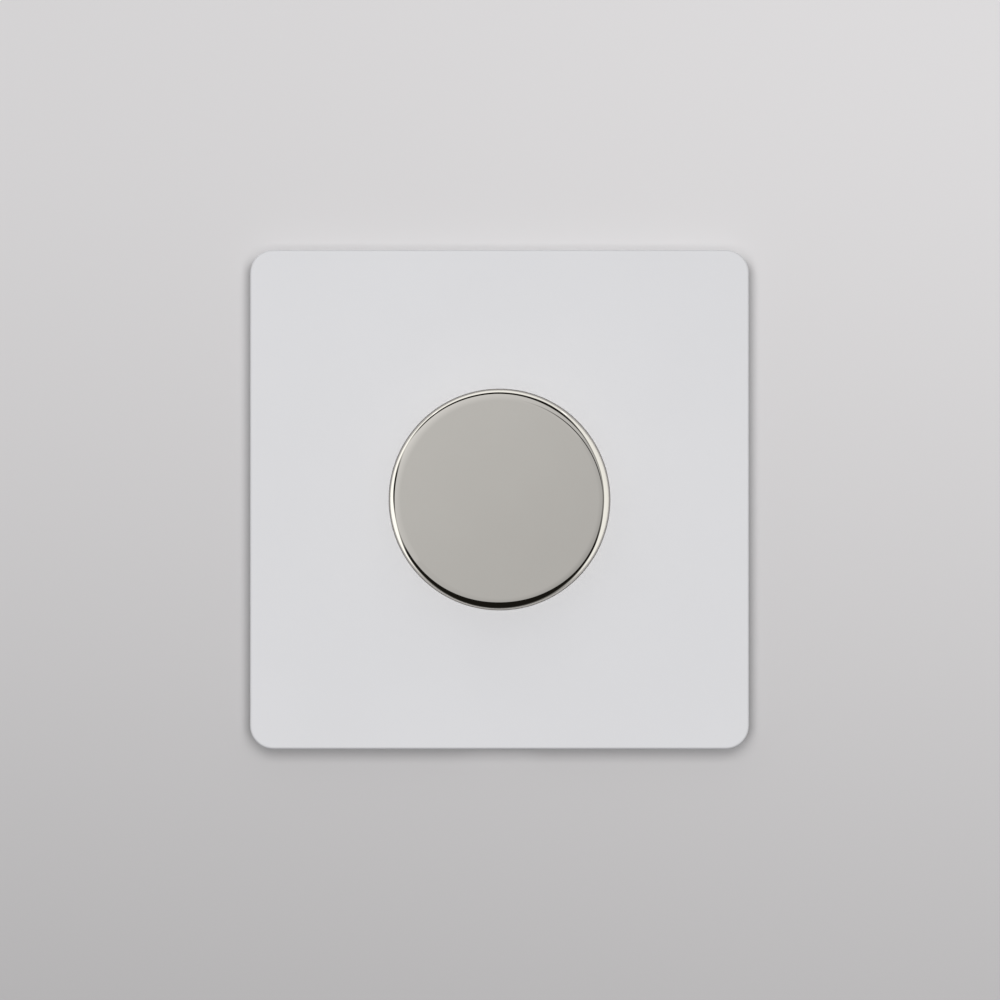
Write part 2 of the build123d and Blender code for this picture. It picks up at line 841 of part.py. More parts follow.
def transistors():
    """Two power transistors, flat on the heat sink, with legs bent to the board."""
    solids = []
    tab_front = sink_back + pad_thick
    for x in transistor_places:
        width = span(x, transistor_width)
        body_height = (transistor_low, transistor_low + transistor_body)
        solid = block(width, (tab_front, tab_back), (transistor_low, transistor_high))
        solid += block(width, (tab_front, tab_front + transistor_thick), body_height)
        solid -= rod(m3_shank + hole_gap, tab_back, tab_front, x, tab_hole_z)
        leg_front = tab_front + transistor_leg_rise
        leg_low = transistor_low - transistor_leg_reach
        outline = [
            (leg_front, transistor_low),
            (leg_front, leg_low),
            (board_front, leg_low),
            (board_front, leg_low + transistor_leg),
            (leg_front + transistor_leg, leg_low + transistor_leg),
            (leg_front + transistor_leg, transistor_low),
        ]
        for i in (-1, 0, 1):
            solid += bent(transistor_leg, x + i * transistor_leg_pitch, *outline)
        solids.append(solid)
    return solids


def insulating_pads():
    """Thin pads between the transistors and the heat sink."""
    pads = []
    for x in transistor_places:
        width, height = transistor_width + 2 * pad_margin, transistor_height + 2 * pad_margin
        pad = prism(Pos(x, transistor_z) * Rectangle(width, height), sink_back + pad_thick, sink_back)
        pads.append(pad - rod(m3_shank + hole_gap, sink_back + pad_thick, sink_back, x, tab_hole_z))
    return pads


def transistor_screws():
    """Screws that clamp the transistors to the heat sink."""
    length = tab_back - carrier_back - hole_gap
    head = (m3_head, m3_head_thick)
    return [slotted_screw(m3_shank, length, *head, tab_back, x, tab_hole_z) for x in transistor_places]


def module_case():
    """Moulded housing of the module, open where the terminal block fills it."""
    case = prism(RectangleRounded(case_width, case_height, case_corner), case_back, sink_back)
    case = chamfer(case.faces().sort_by(Axis.Y)[-1].edges(), case_edge)
    hollow = RectangleRounded(inner_width, inner_height, case_corner - case_wall)
    case -= prism(hollow, case_inside, sink_back)
    ledge = (block_front - ledge_thick, block_front)
    low = -inner_height / 2
    case += block(span(0, block_width), ledge, (low - case_wall / 2, low + ledge_reach))
    for x, z in case_screw_places:
        case += rod(boss_radius, case_inside + case_wall / 2, sink_back, x, z)
        case -= rod(m2_shank + hole_gap, case_back, sink_back, x, z)
        case -= countersink(m2_shank + hole_gap, m2_head, case_back, 1, x, z)
    for x, z in posts:
        case += rod(post_radius, case_inside + case_wall / 2, board_back, x, z)
    bay = span(0, block_width + 2 * seat_gap)
    case -= block(bay, (block_front, case_back), (block_low, block_high + seat_gap))
    panel = Pos(0, panel_z) * RectangleRounded(panel_width, panel_height, panel_corner)
    case -= prism(panel, case_back, case_back - panel_depth)
    gauge_z = (block_high + panel_z - panel_height / 2) / 2
    gauge = Pos(0, gauge_z) * Rectangle(gauge_length, gauge_width)
    case -= prism(gauge, case_back, case_back - gauge_depth)
    for i in range(side_grooves):
        z = side_groove_z + (i - (side_grooves - 1) / 2) * side_groove_pitch
        for side in (-1, 1):
            x = span(side * case_width / 2, 2 * side_groove_depth)
            case -= block(x, (sink_back + case_wall, case_back - 2 * case_wall), span(z, side_groove_width))
    return case


def case_screws():
    """Two long screws through the case into the heat sink."""
    screws = []
    end = carrier_back + hole_gap
    for x, z in case_screw_places:
        screw = countersink(m2_shank, m2_head - hole_gap, case_back, 1, x, z)
        screw += rod(m2_shank, case_back, end, x, z)
        slot = Pos(x, z) * Rectangle(2.2 * m2_head, fine_slot)
        screws.append(screw - prism(slot, case_back, case_back - fine_slot))
    return screws


def terminal_block():
    """Block with one bay for each terminal and a square way in for its wire."""
    body = block(span(0, block_width), (block_front, case_back), (block_low, block_high))
    bay = cage_size + 2 * seat_gap
    entry = wire_opening + 2 * entry_margin
    tag_slot = tag_width + 2 * seat_gap
    tag_depth = (cage_front - seat_gap, cage_front + tag_thick + seat_gap)
    for x in terminal_places:
        body -= block(span(x, bay), span(cage_mid, bay), (cage_low - seat_gap, cage_high + seat_gap))
        body -= block(span(x, entry), span(cage_mid, entry), (block_low, cage_low))
        body -= block(span(x, tag_slot), tag_depth, (cage_high, block_high))
        body -= rod(terminal_head + hole_gap, case_back, terminal_seat, x, cage_middle)
        body -= rod(m3_shank + hole_gap, terminal_seat, cage_back, x, cage_middle)
    return body


def terminal_cages():
    """Square brass sleeves with a tag to the board."""
    cages = []
    height = (cage_low, cage_high)
    for x in terminal_places:
        cage = block(span(x, cage_size), (cage_front, cage_back), height)
        cage -= block(span(x, wire_opening), span(cage_mid, wire_opening), height)
        cage -= rod(m3_shank + thread_gap, cage_back, cage_mid, x, cage_middle)
        outline = [
            (cage_front, cage_high),
            (cage_front, tag_high),
            (board_front, tag_high),
            (board_front, tag_high - tag_thick),
            (cage_front + tag_thick, tag_high - tag_thick),
            (cage_front + tag_thick, cage_high),
        ]
        cages.append(cage + bent(tag_width, x, *outline))
    return cages


def terminal_screws():
    """Slotted screws that clamp the wires."""
    length = terminal_seat - cage_back + cage_wall
    head = (terminal_head, terminal_head_thick)
    return [slotted_screw(m3_shank, length, *head, terminal_seat, x, cage_middle) for x in terminal_places]


def earth_terminal():
    """Brass pillar riveted into the carrier."""
    back = carrier_back + earth_depth
    pillar = block(span(earth_x, earth_width), (carrier_back, back), span(earth_z, earth_height))
    pillar += rod(earth_rivet, carrier_back, carrier_front, earth_x, earth_z)
    wire_hole = Cylinder(earth_wire_radius, 2 * earth_height)
    pillar -= Pos(earth_x, carrier_back + earth_wire_inset, earth_z) * wire_hole
    pillar -= rod(m3_head + hole_gap, back, back - m3_head_thick - earth_head_sink, earth_x, earth_z)
    return pillar - rod(m3_shank + thread_gap, back, carrier_back + earth_wire_inset, earth_x, earth_z)


def earth_screw():
    """Slotted screw of the earth pillar."""
    seat = carrier_back + earth_depth - m3_head_thick - earth_head_sink
    length = seat - carrier_back - earth_wire_inset - earth_wire_radius + driver_slot_depth
    return slotted_screw(m3_shank, length, m3_head, m3_head_thick, seat, earth_x, earth_z)


def earth_leaf():
    """Bowed leaf that joins the earth pillar to the metal plate."""
    start, end = earth_z - leaf_width / 2, earth_z + leaf_length - leaf_width / 2
    middle = (start + end) / 2
    flat = carrier_front - leaf_thick
    crest = plate_inside + seat_gap
    outline = [
        Line((carrier_front, start), (flat, start)),
        ThreePointArc((flat, start), (crest, middle), (flat, end)),
        Line((flat, end), (carrier_front, end)),
        ThreePointArc((carrier_front, end), (crest + leaf_thick, middle), (carrier_front, start)),
    ]
    face = Plane.YZ.offset(earth_x - leaf_width / 2) * make_face(outline)
    return extrude(face, amount=leaf_width, dir=(1, 0, 0))


def write(name, shape):
    """One STEP file for each node; a list of solids is one node."""
    if isinstance(shape, list):
        shape = Compound([solid for item in shape for solid in item.solids()])
    export_step(shape, f"parts/{name}.step")


nodes = {
    "front_plate": front_plate,
    "carrier": carrier,
    "wall_gasket": wall_gasket,
    "knob_cap": knob_cap,
    "knob_hub": knob_hub,
    "hub_spring_ring": hub_spring_ring,
    "control_shaft": control_shaft,
    "shaft_circlip": shaft_circlip,
    "heat_sink": heat_sink,
    "heat_sink_screws": heat_sink_screws,
    "threaded_bush": threaded_bush,
    "bush_nut": bush_nut,
    "lock_washer": lock_washer,
    "pot_case": pot_case,
    "resistor_disc": resistor_disc,
    "wiper_rotor": wiper_rotor,
    "wiper_contact": wiper_contact,
    "pot_terminals": pot_terminals,
    "switch_case": switch_case,
    "switch_plunger": switch_plunger,
    "plunger_spring": plunger_spring,
    "bridge_contact": bridge_contact,
    "fixed_contacts": fixed_contacts,
    "circuit_board": circuit_board,
    "choke_core": choke_core,
    "choke_winding": choke_winding,
    "film_capacitor": film_capacitor,
    "smoothing_capacitor": smoothing_capacitor,
    "thermal_fuse": thermal_fuse,
    "control_chip": control_chip,
    "transistors": transistors,
    "insulating_pads": insulating_pads,
    "transistor_screws": transistor_screws,
    "module_case": module_case,
    "case_screws": case_screws,
    "terminal_block": terminal_block,
    "terminal_cages": terminal_cages,
    "terminal_screws": terminal_screws,
    "earth_terminal": earth_terminal,
    "earth_screw": earth_screw,
    "earth_leaf": earth_leaf,
}

os.makedirs("parts", exist_ok=True)
for name, make in nodes.items():
    write(name, make())
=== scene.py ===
import json
from math import cos, pi, radians, sin

import bmesh
import bpy
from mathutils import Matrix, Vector


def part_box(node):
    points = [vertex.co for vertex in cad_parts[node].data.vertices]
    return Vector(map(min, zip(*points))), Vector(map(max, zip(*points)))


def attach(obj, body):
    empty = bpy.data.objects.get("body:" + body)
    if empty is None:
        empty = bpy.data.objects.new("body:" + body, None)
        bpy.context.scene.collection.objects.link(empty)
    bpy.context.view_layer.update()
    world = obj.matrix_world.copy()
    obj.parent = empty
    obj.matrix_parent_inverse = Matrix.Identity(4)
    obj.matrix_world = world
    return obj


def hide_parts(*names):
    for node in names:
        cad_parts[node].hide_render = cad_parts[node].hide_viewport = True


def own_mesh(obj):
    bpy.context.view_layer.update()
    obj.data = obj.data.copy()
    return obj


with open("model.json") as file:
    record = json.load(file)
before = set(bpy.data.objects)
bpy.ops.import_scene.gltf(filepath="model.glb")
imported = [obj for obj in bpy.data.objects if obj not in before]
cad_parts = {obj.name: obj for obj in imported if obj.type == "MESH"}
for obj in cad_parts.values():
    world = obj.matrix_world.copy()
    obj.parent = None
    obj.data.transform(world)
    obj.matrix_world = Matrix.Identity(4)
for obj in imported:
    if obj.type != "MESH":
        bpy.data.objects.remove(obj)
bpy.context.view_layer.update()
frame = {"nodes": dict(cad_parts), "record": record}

# Sizes are in metres, in the model's own frame: the wall is at y = 0 and the room is on
# the side of negative y.
MM = 0.001

# The photograph's frame, in its own pixels
IMAGE_SIZE = 1000
PLATE_LEFT, PLATE_RIGHT = 250.0, 749.0
PLATE_TOP, PLATE_BOTTOM = 249.8, 749.3
CAMERA_DISTANCE = 2.0
SENSOR = 36.0            # in millimetres
CLIP_START, CLIP_END = 0.1, 20

# Knob, as turned
KNOB_EDGE = 2.0 * MM
CAP_WALL = 1.1 * MM
CAP_FACE = 1.5 * MM
SKIRT_CHAMFER = 0.3 * MM
LATHE_STEPS = 384
EDGE_STEPS = 28
FACE_RINGS = (0.2, 0.4, 0.6, 0.8, 0.92, 0.97)    # shares of the flat face's radius
GUARD = 0.03 * MM        # strip beside the round edge that keeps the flats' shading flat
CAP_SHARP = radians(30)

# Broken edges of the larger pieces behind the plate
EDGE_BREAKS = {
    "carrier": 0.15 * MM,
    "module_case": 0.25 * MM,
    "terminal_block": 0.15 * MM,
    "heat_sink": 0.12 * MM,
    "earth_terminal": 0.15 * MM,
    "terminal_cages": 0.1 * MM,
}
BREAK_SEGMENTS = 2
BREAK_SHARP = radians(40)
FLAT_ANGLE = radians(0.5)
WELD_DISTANCE = 1e-6
FACE_WEIGHT = 100

# Finishes
NOISE_RANGE = (0.3, 0.7)
NOISE_DETAIL = 3.0
LEAST_ROUGH = 0.02

# Colours, as linear values
PAINT = (0.690, 0.690, 0.705)
NICKEL = (0.730, 0.700, 0.655)
FAR_BACKGROUND = (0.62, 0.615, 0.617)
SKY_BELOW = (0.17, 0.17, 0.173)
SKY_ABOVE = (0.33, 0.33, 0.335)

# The wall behind the plate, with painted shade in its colour
BACKDROP_REACH = 2.0
BACKDROP_DEPTH = 0.2 * MM
BACKDROP_LIT = (0.695, 0.683, 0.687)
BACKDROP_SHADED = (0.395, 0.387, 0.389)
BACKDROP_SHADE_FADE = (-0.20, 0.10)    # heights over which painted shade darkens the wall towards the bottom
BACKDROP_LIGHT_LEAN = 0.045            # painted light and shade: how much lighter or darker the wall is at its sides
BACKDROP_SIDE = 0.11             # how far out that change ends
PLATE_CORNER = 4.0 * MM
RIM_SHADOW_REACH = 1.7 * MM            # how far out on the wall the painted shadow along the rim reaches
RIM_SHADOW_DEPTHS = (0.22, 0.46, 0.0)  # how dark the painted shadow is below, beside and above the plate

# Lamps: place, side of the square and power
SOFTBOX_FRONT = ((0.0, -1.8, 0.22), 1.4, 29.2)
SOFTBOX_BEHIND = ((0.0, 1.5, 0.15), 1.0, 22)
LAMP_TARGET = (0.0, 0.0, 0.0)


class Graph:
    """A node tree that is built by short calls."""

    def __init__(self, tree):
        self.tree = tree
        tree.nodes.clear()

    def add(self, kind, inputs=None, **properties):
        node = self.tree.nodes.new(kind)
        for name, value in properties.items():
            setattr(node, name, value)
        for name, value in (inputs or {}).items():
            if isinstance(value, bpy.types.NodeSocket):
                self.tree.links.new(value, node.inputs[name])
            else:
                node.inputs[name].default_value = value
        return node

    def math(self, operation, first, second=0.0, clamp=False):
        node = self.add("ShaderNodeMath", {0: first, 1: second}, operation=operation, use_clamp=clamp)
        return node.outputs[0]

    def length(self, first, second):
        """How far two steps at right angles lead."""
        squares = [self.math("POWER", self.math("ABSOLUTE", step), 2.0) for step in (first, second)]
        return self.math("SQRT", self.math("ADD", *squares))

    def ramp(self, value, low, high, start=0.0, end=1.0):
        """A value mapped from one range to another and held at its ends."""
        inputs = {"Value": value, "From Min": low, "From Max": high, "To Min": start, "To Max": end}
        node = self.add("ShaderNodeMapRange", inputs, clamp=True, interpolation_type="SMOOTHSTEP")
        return node.outputs[0]

    def mix(self, share, first, second):
        """A blend of two colours."""
        node = self.add("ShaderNodeMix", data_type="RGBA")
        for socket, value in ((0, share), (6, first), (7, second)):
            if isinstance(value, bpy.types.NodeSocket):
                self.tree.links.new(value, node.inputs[socket])
            elif socket == 0:
                node.inputs[socket].default_value = value
            else:
                node.inputs[socket].default_value = (*value, 1)
        return node.outputs[2]

    def noise(self, size, stretch):
        """Noise whose grains are about as large as size, in metres."""
        place = self.add("ShaderNodeTexCoord").outputs["Object"]
        place = self.add("ShaderNodeMapping", {"Vector": place, "Scale": stretch}).outputs[0]
        inputs = {"Vector": place, "Scale": 1 / size, "Detail": NOISE_DETAIL}
        return self.add("ShaderNodeTexNoise", inputs).outputs["Fac"]


def new_material(name):
    """A material and the graph to draw it in."""
    material = bpy.data.materials.new(name)
    material.use_nodes = True
    return material, Graph(material.node_tree)


def surface(name, colour, rough, metal=0.0, *, tone, grain, bump, rough_spread=0.06, patch=12 * MM,
            stretch=(1, 1, 1), **fixed):
    """A finish with uneven tone and roughness and a fine relief."""
    material, graph = new_material(name)
    large = graph.noise(patch, stretch)
    fine = graph.noise(grain, stretch)
    dark = [c * (1 - tone) for c in colour]
    light = [min(1.0, c * (1 + tone)) for c in colour]
    shade = graph.mix(graph.ramp(large, *NOISE_RANGE), dark, light)
    least = max(LEAST_ROUGH, rough - rough_spread)
    roughness = graph.ramp(fine, *NOISE_RANGE, least, rough + rough_spread)
    relief = graph.add("ShaderNodeBump", {"Height": fine, "Strength": 1.0, "Distance": bump})
    inputs = {"Base Color": shade, "Roughness": roughness, "Normal": relief.outputs[0], "Metallic": metal}
    inputs.update(fixed)
    shader = graph.add("ShaderNodeBsdfPrincipled", inputs)
    graph.add("ShaderNodeOutputMaterial", {"Surface": shader.outputs[0]})
    return material


def powder_coat():
    """White satin powder coat with a faint orange-peel skin."""
    return surface("powder_coat", PAINT, 0.42, tone=0.006, grain=0.35 * MM, bump=0.006 * MM, patch=25 * MM)


def polished_nickel():
    """Bright nickel plate, slightly warm."""
    return surface("bright_nickel", NICKEL, 0.03, 1.0, tone=0.006, grain=0.8 * MM, bump=0.00002 * MM,
                   rough_spread=0.008, patch=9 * MM, **{"Specular Tint": (0.12, 0.12, 0.12, 1)})


def moulded(name, colour, rough, grain=0.25 * MM, bump=0.012 * MM):
    """Moulded plastic with a spark-eroded skin."""
    return surface(name, colour, rough, tone=0.05, grain=grain, bump=bump)


def plated(name, colour, rough=0.28, **more):
    """Plated or bare metal with fine marks."""
    values = {"tone": 0.04, "grain": 0.5 * MM, "bump": 0.0015 * MM, "patch": 3 * MM, "rough_spread": 0.04}
    return surface(name, colour, rough, 1.0, **{**values, **more})


def finishes():
    """The material of each slot of the record."""
    return {
        "white_paint": powder_coat(),
        "polished_nickel": polished_nickel(),
        "natural_nylon": moulded("nylon_natural", (0.72, 0.68, 0.58), 0.45),
        "spring_steel": plated("steel_spring", (0.42, 0.42, 0.44)),
        "shaft_steel": plated("steel_turned", (0.52, 0.52, 0.53), 0.22, stretch=(1, 6, 1)),
        "white_plastic": moulded("polycarbonate_white", (0.64, 0.64, 0.62), 0.42),
        "grey_foam": surface("foam_grey", (0.035, 0.035, 0.038), 0.9, tone=0.25, grain=0.45 * MM,
                             bump=0.12 * MM, patch=1.2 * MM),
        "mill_aluminium": plated("aluminium_mill", (0.72, 0.73, 0.74), 0.34, stretch=(1, 1, 0.08),
                                 bump=0.005 * MM),
        "zinc_steel": plated("zinc_bright", (0.60, 0.62, 0.66), 0.26),
        "nickel_brass": plated("nickel_on_brass", (0.62, 0.59, 0.52), 0.2),
        "brown_phenolic": moulded("phenolic", (0.12, 0.06, 0.03), 0.55),
        "cream_plastic": moulded("acetal_cream", (0.66, 0.60, 0.46), 0.4),
        "contact_bronze": plated("bronze_contact", (0.72, 0.48, 0.26), 0.25),
        "blue_plastic": moulded("polyester_blue", (0.03, 0.09, 0.24), 0.45),
        "green_board": moulded("board_green", (0.02, 0.13, 0.05), 0.35, bump=0.004 * MM),
        "yellow_core": moulded("core_yellow", (0.62, 0.46, 0.06), 0.5),
        "copper_wire": plated("copper_enamel", (0.62, 0.24, 0.10), 0.3),
        "grey_case": moulded("capacitor_grey", (0.20, 0.21, 0.22), 0.35),
        "black_sleeve": moulded("sleeve_black", (0.015, 0.015, 0.02), 0.25),
        "black_epoxy": moulded("epoxy_black", (0.02, 0.02, 0.02), 0.55),
        "grey_pad": moulded("silicone_grey", (0.22, 0.24, 0.27), 0.7),
        "black_module": moulded("nylon_black", (0.022, 0.022, 0.024), 0.5, 0.3 * MM, 0.03 * MM),
        "grey_block": moulded("polyamide_grey", (0.10, 0.105, 0.11), 0.48, 0.3 * MM, 0.02 * MM),
        "plain_brass": plated("brass_plain", (0.78, 0.55, 0.22), 0.24),
    }


def soften(piece, width):
    """Breaks a node's sharp edges by a small width."""
    weld = piece.modifiers.new("weld", "WELD")
    weld.merge_threshold = WELD_DISTANCE
    flats = piece.modifiers.new("flats", "DECIMATE")
    flats.decimate_type = "DISSOLVE"
    flats.angle_limit = FLAT_ANGLE
    bevel = piece.modifiers.new("edge_break", "BEVEL")
    bevel.width = width
    bevel.segments = BREAK_SEGMENTS
    bevel.limit_method = "ANGLE"
    bevel.angle_limit = BREAK_SHARP
    piece.data.shade_smooth()
    normals = piece.modifiers.new("flat_faces", "WEIGHTED_NORMAL")
    normals.weight = FACE_WEIGHT


def new_object(name, data):
    """An object in the scene."""
    made = bpy.data.objects.new(name, data)
    bpy.context.scene.collection.objects.link(made)
    return made


def new_piece(name, mesh, material, body):
    """A mesh of its own that rides on a body."""
    mesh.materials.clear()
    mesh.materials.append(material)
    piece = new_object(name, mesh)
    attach(piece, body)
    return piece


def lathe(name, profile, material, body):
    """A closed solid turned about the Y axis; profile is a loop of (radius, depth)."""
    points, faces, rings = [], [], []
    for radius, depth in profile:
        if radius == 0:
            rings.append([len(points)] * LATHE_STEPS)
            points.append((0.0, depth, 0.0))
        else:
            rings.append(list(range(len(points), len(points) + LATHE_STEPS)))
            for i in range(LATHE_STEPS):
                turn = 2 * pi * i / LATHE_STEPS
                points.append((radius * cos(turn), depth, radius * sin(turn)))
    for j, ring in enumerate(rings):
        after = rings[(j + 1) % len(rings)]
        if ring[0] == ring[1] and after[0] == after[1]:
            continue
        for i in range(LATHE_STEPS):
            k = (i + 1) % LATHE_STEPS
            corners = [ring[i], after[i], after[k], ring[k]]
            faces.append(tuple(dict.fromkeys(corners)))
    mesh = bpy.data.meshes.new(name)
    mesh.from_pydata(points, [], faces)
    mend = bmesh.new()
    mend.from_mesh(mesh)
    bmesh.ops.recalc_face_normals(mend, faces=mend.faces)
    mend.to_mesh(mesh)
    mend.free()
    mesh.shade_smooth()
    mesh.set_sharp_from_angle(angle=CAP_SHARP)
    return new_piece(name, mesh, material, body)


def rounded(centre, radius, start, end):
    """Points of an arc in (radius, depth), by angles from the outward direction."""
    angles = [start + (end - start) * i / EDGE_STEPS for i in range(EDGE_STEPS + 1)]
    return [(centre[0] + radius * cos(a), centre[1] + radius * sin(a)) for a in angles]


def make_knob(material):
    """The nickel cap with an edge smooth enough for mirror reflections."""
    low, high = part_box("knob_cap")
    radius, front, back = high.x, low.y, high.y
    inside = radius - CAP_WALL
    corner = (radius - KNOB_EDGE, front + KNOB_EDGE)
    profile = [(0.0, front)]
    profile += [(share * corner[0], front) for share in FACE_RINGS]
    profile += [(corner[0] - GUARD, front)]
    profile += rounded(corner, KNOB_EDGE, -pi / 2, 0.0)
    profile += [
        (radius, corner[1] + GUARD),
        (radius, back - SKIRT_CHAMFER),
        (radius - SKIRT_CHAMFER, back),
        (inside, back),
        (inside, front + CAP_FACE),
        (0.0, front + CAP_FACE),
    ]
    piece = lathe("knob_turned", profile, material, "knob")
    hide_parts("knob_cap")
    # The photograph shows no shadow of the knob on the plate
    piece.visible_shadow = False
    for name in ("knob_hub", "hub_spring_ring", "control_shaft"):
        frame["nodes"][name].visible_shadow = False


def make_spring(material):
    """The plunger's coil, as a copy of its own mesh on the root body."""
    coil = frame["nodes"]["plunger_spring"]
    piece = new_piece("spring_coil", coil.data.copy(), material, "root")
    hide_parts(coil.name)
    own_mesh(piece)


def dress_nodes(materials):
    """Gives each node of the frame its finish and breaks its edges."""
    slots = {part["node"]: part["material_slot"] for part in frame["record"]["subparts"]}
    for name, piece in frame["nodes"].items():
        for place in piece.material_slots:
            place.material = materials[slots[name]]
        if name in EDGE_BREAKS:
            soften(piece, EDGE_BREAKS[name])


def area_light(name, place, size, power):
    """A soft square lamp."""
    lamp = bpy.data.lights.new(name, "AREA")
    lamp.shape = "SQUARE"
    lamp.size = size
    lamp.energy = power
    holder = new_object(name, lamp)
    holder.location = place
    holder.rotation_mode = "QUATERNION"
    holder.rotation_quaternion = (Vector(LAMP_TARGET) - Vector(place)).to_track_quat("-Z", "Y")
    holder.visible_glossy = False
    holder.visible_camera = False


def studio():
    """Even light from all round, one softbox by the camera and one for the back."""
    world = bpy.data.worlds.new("studio")
    bpy.context.scene.world = world
    world.use_nodes = True
    graph = Graph(world.node_tree)
    path = graph.add("ShaderNodeLightPath")
    direction = graph.add("ShaderNodeTexCoord").outputs["Generated"]
    parts = graph.add("ShaderNodeSeparateXYZ", {0: direction}).outputs
    sky = graph.mix(graph.ramp(parts[2], -1.0, 1.0), SKY_BELOW, SKY_ABOVE)
    ambient = graph.add("ShaderNodeBackground", {"Color": sky, "Strength": 1.0})
    seen = graph.add("ShaderNodeBackground", {"Color": (*FAR_BACKGROUND, 1), "Strength": 1.0})
    mirrored = graph.add("ShaderNodeBackground", {"Color": reflections(graph, parts), "Strength": 1.0})
    first = graph.add("ShaderNodeMixShader", {0: path.outputs["Is Glossy Ray"], 1: ambient.outputs[0],
                                              2: mirrored.outputs[0]})
    second = graph.add("ShaderNodeMixShader", {0: path.outputs["Is Camera Ray"], 1: first.outputs[0],
                                               2: seen.outputs[0]})
    graph.add("ShaderNodeOutputWorld", {"Surface": second.outputs[0]})
    area_light("softbox_front", *SOFTBOX_FRONT)
    area_light("softbox_behind", *SOFTBOX_BEHIND)


# The dark gap between the card ahead and the white walls, as polished metal shows it:
# angle from the right, slopes at its inner and outer edge, and how dark it is
GAP = [
    (0, 0.33, 0.47, 0.80),
    (15, 0.40, 0.50, 0.65),
    (30, 0.45, 0.53, 0.75),
    (45, 0.49, 0.62, 0.95),
    (60, 0.50, 0.69, 1.0),
    (75, 0.53, 0.685, 1.0),
    (90, 0.55, 0.695, 1.0),
    (105, 0.56, 0.70, 1.0),
    (120, 0.595, 0.72, 1.0),
    (138, 0.62, 0.725, 0.90),
    (150, 0.62, 0.71, 0.45),
    (165, 0.52, 0.67, 0.95),
    (180, 0.48, 0.61, 1.0),
    (195, 0.49, 0.57, 0.65),
    (210, 0.49, 0.70, 1.0),
    (240, 0.42, 0.80, 1.0),
    (270, 0.30, 0.83, 1.0),
    (300, 0.38, 0.75, 1.0),
    (318, 0.45, 0.67, 1.0),
    (335, 0.42, 0.59, 1.0),
    (350, 0.33, 0.48, 0.85),
    (360, 0.33, 0.47, 0.80),
]
GAP_SOFT = 0.014                 # half the width over which the gap's edges fade
FLOOR_SOFT = 0.07                # the same for its outer edge, towards the floor
FLOOR_SOFT_FROM = (-0.60, -0.20)

# The card, the walls and what is beyond them. A pair named LEAN or ALONG is the change for
# each unit of tilt to the right and upwards. A pair named FADE or FROM is where a change
# starts and ends.
CARD = (0.615, 0.619, 0.622)
CARD_LEAN = (-0.40, 0.40)
CARD_FOLD = 0.0045               # slope over which the face turns from light to dark
CARD_FOLD_ALONG = (-0.6, 0.8)
CARD_FOLD_DEPTH = 0.05           # how much lighter or darker each side is
WALLS = (1.0, 1.01, 0.985)
WALL_LEVEL = 1.30
WALL_LEAN = (-0.24, -0.10)
FLOOR_LEVEL = 0.3
FLOOR_FADE = (-0.68, -0.40)
ARC_CENTRE, ARC_RADIUS, ARC_WIDTH = (0.13, -0.12), 0.285, 0.045
ARC_FADE_ACROSS = (0.02, 0.15)
ARC_FADE_UP = (-0.02, 0.10)
GLINTS = [(0.45, 0.60), (-0.45, 0.60)]
GLINT_RADIUS = 0.035
GLINT = (1.9, 1.9, 1.9)
BLACK = (0.012, 0.011, 0.009)
LEAST_SIZE = 1e-4                # keeps the slopes finite straight behind the mirror
BEHIND_LOW = (0.25, 0.25, 0.26)
BEHIND_HIGH = (1.0, 1.0, 1.0)
BEHIND_FADE = (-0.5, 0.5)
BEHIND_FROM = (0.35, 0.6)


